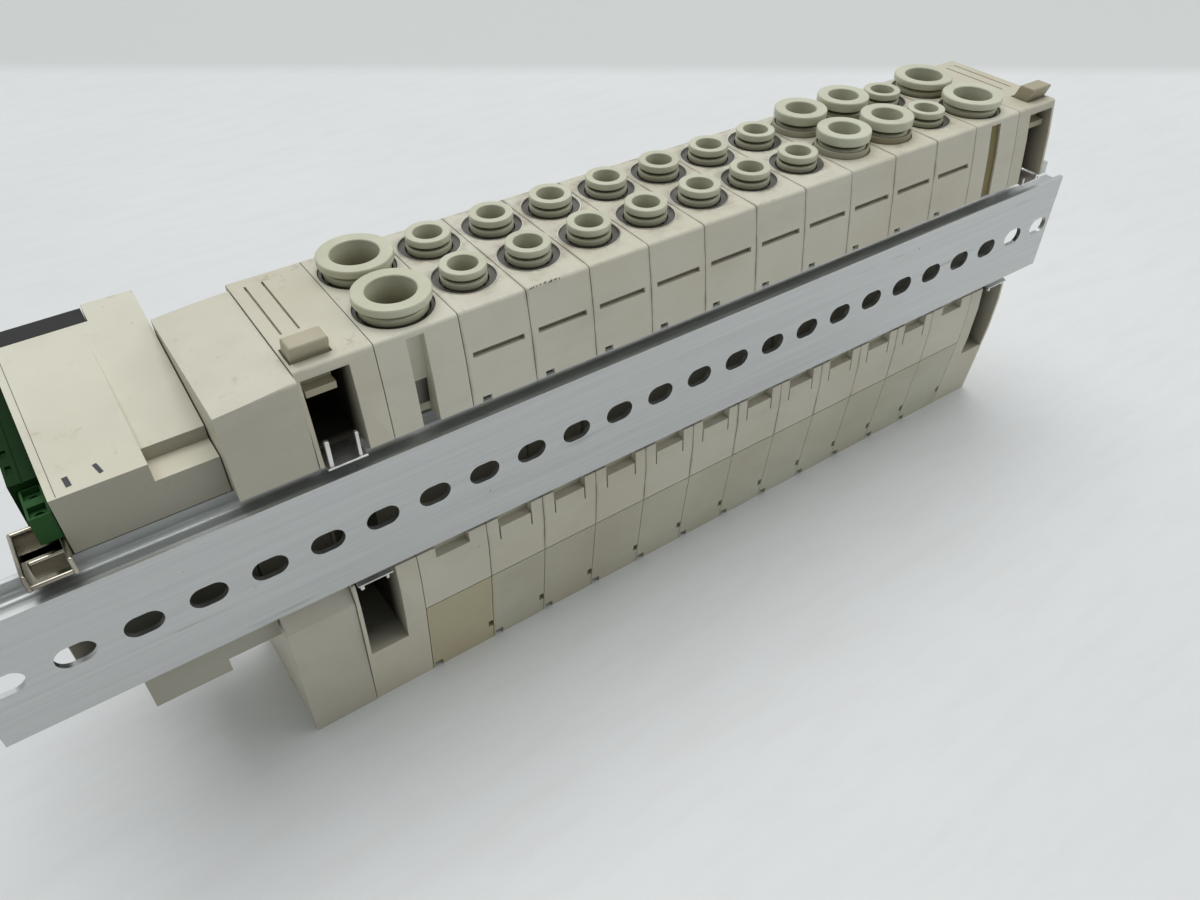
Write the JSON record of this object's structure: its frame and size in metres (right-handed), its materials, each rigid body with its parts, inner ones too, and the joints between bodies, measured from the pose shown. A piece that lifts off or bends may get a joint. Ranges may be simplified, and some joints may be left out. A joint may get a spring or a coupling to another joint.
{
  "type": "pneumatic valve island",
  "caption": "Rail-mounted pneumatic valve island: a row of valve stations with push-in tube ports, supply blocks, clamp ends and a wired interface unit.",
  "frame": {"origin": "middle of the rail's slot line on its rear face", "axes": "+X along the rail to the end without interface unit, +Y from the rail to the valves, +Z to the tube ports"},
  "size_m": [0.3104, 0.078, 0.1102],
  "materials": {
    "rail_aluminium": "brushed along its length",
    "nickel_sheet": "nickel plated sheet",
    "interface_plastic": "moulded, yellowed",
    "black_plastic": "smooth moulded",
    "green_plastic": "moulded",
    "dark_green_plastic": "moulded",
    "cartridge_metal": "dark disc with a bright rim",
    "tan_plastic": "moulded, browned with age",
    "screw_steel": "zinc plated",
    "ivory_plastic": "moulded, fine texture",
    "bush_plastic": "moulded",
    "valve_plastic": "moulded"
  },
  "bodies": {
    "island": {"din_rail": "rail_aluminium", "rail_end_stop": "nickel_sheet", "interface_housing": "interface_plastic", "interface_window_cover": "black_plastic", "terminal_header": "green_plastic", "terminal_plug": "dark_green_plastic", "connector_cover": "ivory_plastic", "end_block_left": "ivory_plastic", "end_block_right": "ivory_plastic", "supply_block_left": "ivory_plastic", "supply_block_right": "ivory_plastic", "port_cartridges": "cartridge_metal", "wiring_blocks": "tan_plastic", "valve_screws": "screw_steel", "station_block_01": "ivory_plastic", "valve_01": "valve_plastic", "station_block_02": "ivory_plastic", "valve_02": "valve_plastic", "station_block_03": "ivory_plastic", "valve_03": "valve_plastic", "station_block_04": "ivory_plastic", "valve_04": "valve_plastic", "station_block_05": "ivory_plastic", "valve_05": "valve_plastic", "station_block_06": "ivory_plastic", "valve_06": "valve_plastic", "station_block_07": "ivory_plastic", "valve_07": "valve_plastic", "station_block_08": "ivory_plastic", "valve_08": "valve_plastic", "station_block_09": "ivory_plastic", "valve_09": "valve_plastic", "station_block_10": "ivory_plastic", "valve_10": "valve_plastic"},
    "release_bush_01_near": {"release_bush_01_near": "bush_plastic"},
    "release_bush_01_far": {"release_bush_01_far": "bush_plastic"},
    "release_bush_02_near": {"release_bush_02_near": "bush_plastic"},
    "release_bush_02_far": {"release_bush_02_far": "bush_plastic"},
    "release_bush_03_near": {"release_bush_03_near": "bush_plastic"},
    "release_bush_03_far": {"release_bush_03_far": "bush_plastic"},
    "release_bush_04_near": {"release_bush_04_near": "bush_plastic"},
    "release_bush_04_far": {"release_bush_04_far": "bush_plastic"},
    "release_bush_05_near": {"release_bush_05_near": "bush_plastic"},
    "release_bush_05_far": {"release_bush_05_far": "bush_plastic"},
    "release_bush_06_near": {"release_bush_06_near": "bush_plastic"},
    "release_bush_06_far": {"release_bush_06_far": "bush_plastic"},
    "release_bush_07_near": {"release_bush_07_near": "bush_plastic"},
    "release_bush_07_far": {"release_bush_07_far": "bush_plastic"},
    "release_bush_08_near": {"release_bush_08_near": "bush_plastic"},
    "release_bush_08_far": {"release_bush_08_far": "bush_plastic"},
    "release_bush_09_near": {"release_bush_09_near": "bush_plastic"},
    "release_bush_09_far": {"release_bush_09_far": "bush_plastic"},
    "release_bush_10_near": {"release_bush_10_near": "bush_plastic"},
    "release_bush_10_far": {"release_bush_10_far": "bush_plastic"},
    "release_bush_left_near": {"release_bush_left_near": "bush_plastic"},
    "release_bush_left_far": {"release_bush_left_far": "bush_plastic"},
    "release_bush_right_near": {"release_bush_right_near": "bush_plastic"},
    "release_bush_right_far": {"release_bush_right_far": "bush_plastic"},
    "clamp_button_left": {"clamp_button_left": "ivory_plastic"},
    "clamp_button_right": {"clamp_button_right": "ivory_plastic"}
  },
  "joints": [
    {"name": "release_01_near", "type": "slide", "parent": "island", "child": "release_bush_01_near", "axis": [0, 0, -1], "range_m": [0, 0.0012], "stiffness_N_per_m": 800},
    {"name": "release_01_far", "type": "slide", "parent": "island", "child": "release_bush_01_far", "axis": [0, 0, -1], "range_m": [0, 0.0012], "stiffness_N_per_m": 800},
    {"name": "release_02_near", "type": "slide", "parent": "island", "child": "release_bush_02_near", "axis": [0, 0, -1], "range_m": [0, 0.0012], "stiffness_N_per_m": 800},
    {"name": "release_02_far", "type": "slide", "parent": "island", "child": "release_bush_02_far", "axis": [0, 0, -1], "range_m": [0, 0.0012], "stiffness_N_per_m": 800},
    {"name": "release_03_near", "type": "slide", "parent": "island", "child": "release_bush_03_near", "axis": [0, 0, -1], "range_m": [0, 0.0012], "stiffness_N_per_m": 800},
    {"name": "release_03_far", "type": "slide", "parent": "island", "child": "release_bush_03_far", "axis": [0, 0, -1], "range_m": [0, 0.0012], "stiffness_N_per_m": 800},
    {"name": "release_04_near", "type": "slide", "parent": "island", "child": "release_bush_04_near", "axis": [0, 0, -1], "range_m": [0, 0.0012], "stiffness_N_per_m": 800},
    {"name": "release_04_far", "type": "slide", "parent": "island", "child": "release_bush_04_far", "axis": [0, 0, -1], "range_m": [0, 0.0012], "stiffness_N_per_m": 800},
    {"name": "release_05_near", "type": "slide", "parent": "island", "child": "release_bush_05_near", "axis": [0, 0, -1], "range_m": [0, 0.0012], "stiffness_N_per_m": 800},
    {"name": "release_05_far", "type": "slide", "parent": "island", "child": "release_bush_05_far", "axis": [0, 0, -1], "range_m": [0, 0.0012], "stiffness_N_per_m": 800},
    {"name": "release_06_near", "type": "slide", "parent": "island", "child": "release_bush_06_near", "axis": [0, 0, -1], "range_m": [0, 0.0012], "stiffness_N_per_m": 800},
    {"name": "release_06_far", "type": "slide", "parent": "island", "child": "release_bush_06_far", "axis": [0, 0, -1], "range_m": [0, 0.0012], "stiffness_N_per_m": 800},
    {"name": "release_07_near", "type": "slide", "parent": "island", "child": "release_bush_07_near", "axis": [0, 0, -1], "range_m": [0, 0.0012], "stiffness_N_per_m": 800},
    {"name": "release_07_far", "type": "slide", "parent": "island", "child": "release_bush_07_far", "axis": [0, 0, -1], "range_m": [0, 0.0012], "stiffness_N_per_m": 800},
    {"name": "release_08_near", "type": "slide", "parent": "island", "child": "release_bush_08_near", "axis": [0, 0, -1], "range_m": [0, 0.0012], "stiffness_N_per_m": 800},
    {"name": "release_08_far", "type": "slide", "parent": "island", "child": "release_bush_08_far", "axis": [0, 0, -1], "range_m": [0, 0.0012], "stiffness_N_per_m": 800},
    {"name": "release_09_near", "type": "slide", "parent": "island", "child": "release_bush_09_near", "axis": [0, 0, -1], "range_m": [0, 0.0012], "stiffness_N_per_m": 800},
    {"name": "release_09_far", "type": "slide", "parent": "island", "child": "release_bush_09_far", "axis": [0, 0, -1], "range_m": [0, 0.0012], "stiffness_N_per_m": 800},
    {"name": "release_10_near", "type": "slide", "parent": "island", "child": "release_bush_10_near", "axis": [0, 0, -1], "range_m": [0, 0.0012], "stiffness_N_per_m": 800},
    {"name": "release_10_far", "type": "slide", "parent": "island", "child": "release_bush_10_far", "axis": [0, 0, -1], "range_m": [0, 0.0012], "stiffness_N_per_m": 800},
    {"name": "release_left_near", "type": "slide", "parent": "island", "child": "release_bush_left_near", "axis": [0, 0, -1], "range_m": [0, 0.0012], "stiffness_N_per_m": 800},
    {"name": "release_left_far", "type": "slide", "parent": "island", "child": "release_bush_left_far", "axis": [0, 0, -1], "range_m": [0, 0.0012], "stiffness_N_per_m": 800},
    {"name": "release_right_near", "type": "slide", "parent": "island", "child": "release_bush_right_near", "axis": [0, 0, -1], "range_m": [0, 0.0012], "stiffness_N_per_m": 800},
    {"name": "release_right_far", "type": "slide", "parent": "island", "child": "release_bush_right_far", "axis": [0, 0, -1], "range_m": [0, 0.0012], "stiffness_N_per_m": 800},
    {"name": "clamp_press_left", "type": "slide", "parent": "island", "child": "clamp_button_left", "axis": [0, 0, -1], "range_m": [0, 0.0015], "stiffness_N_per_m": 800},
    {"name": "clamp_press_right", "type": "slide", "parent": "island", "child": "clamp_button_right", "axis": [0, 0, -1], "range_m": [0, 0.0015], "stiffness_N_per_m": 800}
  ]
}
